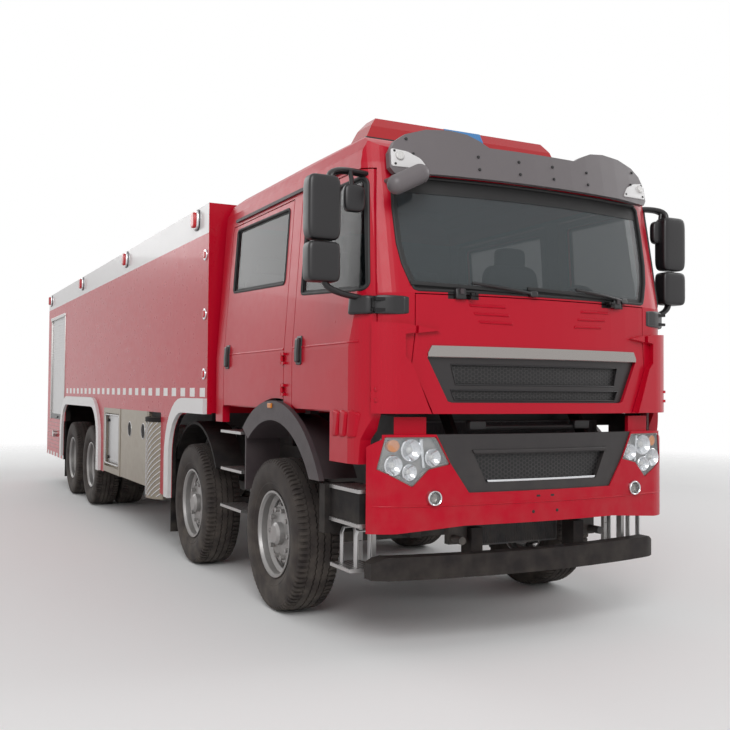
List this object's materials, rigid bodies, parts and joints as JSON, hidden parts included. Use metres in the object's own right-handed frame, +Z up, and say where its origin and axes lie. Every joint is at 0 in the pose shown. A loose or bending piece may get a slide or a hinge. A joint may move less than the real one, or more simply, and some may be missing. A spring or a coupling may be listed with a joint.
{
  "type": "foam fire truck",
  "caption": "Long cab-over foam fire truck with a crew cab, closed tank body, rear pump module with roller shutters, twin steered front axles, twin rear axles and a roof monitor.",
  "frame": {"origin": "on the ground under the middle of the bounding box", "axes": "+X forward, +Y to the truck's left, +Z up"},
  "size_m": [11.866, 2.88, 3.45],
  "materials": {
    "red_paint": "gloss",
    "white_paint": "gloss",
    "chassis_black": "satin",
    "engine_grey": "matte",
    "tyre_rubber": "matte",
    "wheel_silver": "satin",
    "window_glass": "gloss",
    "lamp_glass": "gloss",
    "black_plastic": "satin",
    "grey_plastic": "matte",
    "visor_grey": "satin",
    "red_lens": "gloss",
    "marker_lens": "gloss",
    "interior": "matte",
    "bare_aluminium": "satin",
    "shutter_silver": "satin",
    "stainless": "brushed",
    "mudguard_rubber": "matte"
  },
  "bodies": {
    "chassis": {"frame": "chassis_black", "axles": "chassis_black", "driveline": "engine_grey", "side_tanks": "bare_aluminium", "bumper": "red_paint", "low_grille": "grey_plastic", "headlamps": "lamp_glass", "underrun_bar": "chassis_black", "entry_steps": "bare_aluminium", "mudguards": "mudguard_rubber", "tank_body": "red_paint", "pump_module": "red_paint", "white_panels": "white_paint", "roof_deck": "bare_aluminium", "shutters": "shutter_silver", "side_covers": "stainless", "marker_lamps": "marker_lens", "rear_fittings": "stainless"},
    "cab": {"cab_shell": "red_paint", "cab_roof": "red_paint", "cab_glass": "window_glass", "cab_trim": "grey_plastic", "sun_visor": "visor_grey", "light_bar": "red_lens", "cab_interior": "interior"},
    "front_door_right": {"door_fr": "red_paint", "glass_fr": "window_glass", "mirror_r": "black_plastic"},
    "front_door_left": {"door_fl": "red_paint", "glass_fl": "window_glass", "mirror_l": "black_plastic"},
    "rear_door_right": {"door_rr": "red_paint", "glass_rr": "window_glass"},
    "rear_door_left": {"door_rl": "red_paint", "glass_rl": "window_glass"},
    "flap": {"front_flap": "red_paint", "grille": "grey_plastic"},
    "monitor_head": {"monitor_swivel": "red_paint"},
    "monitor_gun": {"monitor_barrel": "red_paint"},
    "knuckle_1_right": {"knuckle_1r": "chassis_black"},
    "wheel_1_right": {"tyre_1r": "tyre_rubber", "rim_1r": "wheel_silver"},
    "knuckle_1_left": {"knuckle_1l": "chassis_black"},
    "wheel_1_left": {"tyre_1l": "tyre_rubber", "rim_1l": "wheel_silver"},
    "knuckle_2_right": {"knuckle_2r": "chassis_black"},
    "wheel_2_right": {"tyre_2r": "tyre_rubber", "rim_2r": "wheel_silver"},
    "knuckle_2_left": {"knuckle_2l": "chassis_black"},
    "wheel_2_left": {"tyre_2l": "tyre_rubber", "rim_2l": "wheel_silver"},
    "wheels_3_right": {"tyres_3r": "tyre_rubber", "rims_3r": "wheel_silver"},
    "wheels_3_left": {"tyres_3l": "tyre_rubber", "rims_3l": "wheel_silver"},
    "wheels_4_right": {"tyres_4r": "tyre_rubber", "rims_4r": "wheel_silver"},
    "wheels_4_left": {"tyres_4l": "tyre_rubber", "rims_4l": "wheel_silver"}
  },
  "joints": [
    {"name": "steer_1_right", "type": "hinge", "parent": "chassis", "child": "knuckle_1_right", "pos_m": [4.43, -0.923, 0.525], "axis": [0, 0, 1], "range_deg": [-35, 35]},
    {"name": "spin_1_right", "type": "hinge", "parent": "knuckle_1_right", "child": "wheel_1_right", "pos_m": [4.43, -1.053, 0.525], "axis": [0, 1, 0], "continuous": true},
    {"name": "steer_1_left", "type": "hinge", "parent": "chassis", "child": "knuckle_1_left", "pos_m": [4.43, 0.923, 0.525], "axis": [0, 0, 1], "range_deg": [-35, 35]},
    {"name": "spin_1_left", "type": "hinge", "parent": "knuckle_1_left", "child": "wheel_1_left", "pos_m": [4.43, 1.053, 0.525], "axis": [0, 1, 0], "continuous": true},
    {"name": "steer_2_right", "type": "hinge", "parent": "chassis", "child": "knuckle_2_right", "pos_m": [2.48, -0.923, 0.525], "axis": [0, 0, 1], "range_deg": [-26, 26]},
    {"name": "spin_2_right", "type": "hinge", "parent": "knuckle_2_right", "child": "wheel_2_right", "pos_m": [2.48, -1.053, 0.525], "axis": [0, 1, 0], "continuous": true},
    {"name": "steer_2_left", "type": "hinge", "parent": "chassis", "child": "knuckle_2_left", "pos_m": [2.48, 0.923, 0.525], "axis": [0, 0, 1], "range_deg": [-26, 26]},
    {"name": "spin_2_left", "type": "hinge", "parent": "knuckle_2_left", "child": "wheel_2_left", "pos_m": [2.48, 1.053, 0.525], "axis": [0, 1, 0], "continuous": true},
    {"name": "spin_3_right", "type": "hinge", "parent": "chassis", "child": "wheels_3_right", "pos_m": [-2.17, -0.8895, 0.525], "axis": [0, 1, 0], "continuous": true},
    {"name": "spin_3_left", "type": "hinge", "parent": "chassis", "child": "wheels_3_left", "pos_m": [-2.17, 0.8895, 0.525], "axis": [0, 1, 0], "continuous": true},
    {"name": "spin_4_right", "type": "hinge", "parent": "chassis", "child": "wheels_4_right", "pos_m": [-3.57, -0.8895, 0.525], "axis": [0, 1, 0], "continuous": true},
    {"name": "spin_4_left", "type": "hinge", "parent": "chassis", "child": "wheels_4_left", "pos_m": [-3.57, 0.8895, 0.525], "axis": [0, 1, 0], "continuous": true},
    {"name": "cab_tilt", "type": "hinge", "parent": "chassis", "child": "cab", "pos_m": [5.76, 0, 1.13], "axis": [0, 1, 0], "range_deg": [0, 50]},
    {"name": "front_door_right_hinge", "type": "hinge", "parent": "cab", "child": "front_door_right", "pos_m": [5.76, -1.102, 2], "axis": [0, 0, 1], "range_deg": [0, 75]},
    {"name": "rear_door_right_hinge", "type": "hinge", "parent": "cab", "child": "rear_door_right", "pos_m": [4.582, -1.192, 1.6], "axis": [0, 0, 1], "range_deg": [0, 75]},
    {"name": "front_door_left_hinge", "type": "hinge", "parent": "cab", "child": "front_door_left", "pos_m": [5.76, 1.102, 2], "axis": [0, 0, -1], "range_deg": [0, 75]},
    {"name": "rear_door_left_hinge", "type": "hinge", "parent": "cab", "child": "rear_door_left", "pos_m": [4.582, 1.192, 1.6], "axis": [0, 0, -1], "range_deg": [0, 75]},
    {"name": "flap_hinge", "type": "hinge", "parent": "cab", "child": "flap", "pos_m": [5.925, 0, 2.09], "axis": [0, -1, 0], "range_deg": [0, 75]},
    {"name": "monitor_turn", "type": "hinge", "parent": "chassis", "child": "monitor_head", "pos_m": [-4.57, 0, 3.1], "axis": [0, 0, 1], "range_deg": [-170, 170]},
    {"name": "monitor_pitch", "type": "hinge", "parent": "monitor_head", "child": "monitor_gun", "pos_m": [-4.57, 0, 3.38], "axis": [0, -1, 0], "range_deg": [-5, 70]}
  ],
  "couplings": [
    {"joint": "steer_1_left", "follows": "steer_1_right", "ratio": 1},
    {"joint": "steer_2_right", "follows": "steer_1_right", "ratio": 0.74},
    {"joint": "steer_2_left", "follows": "steer_1_right", "ratio": 0.74}
  ]
}
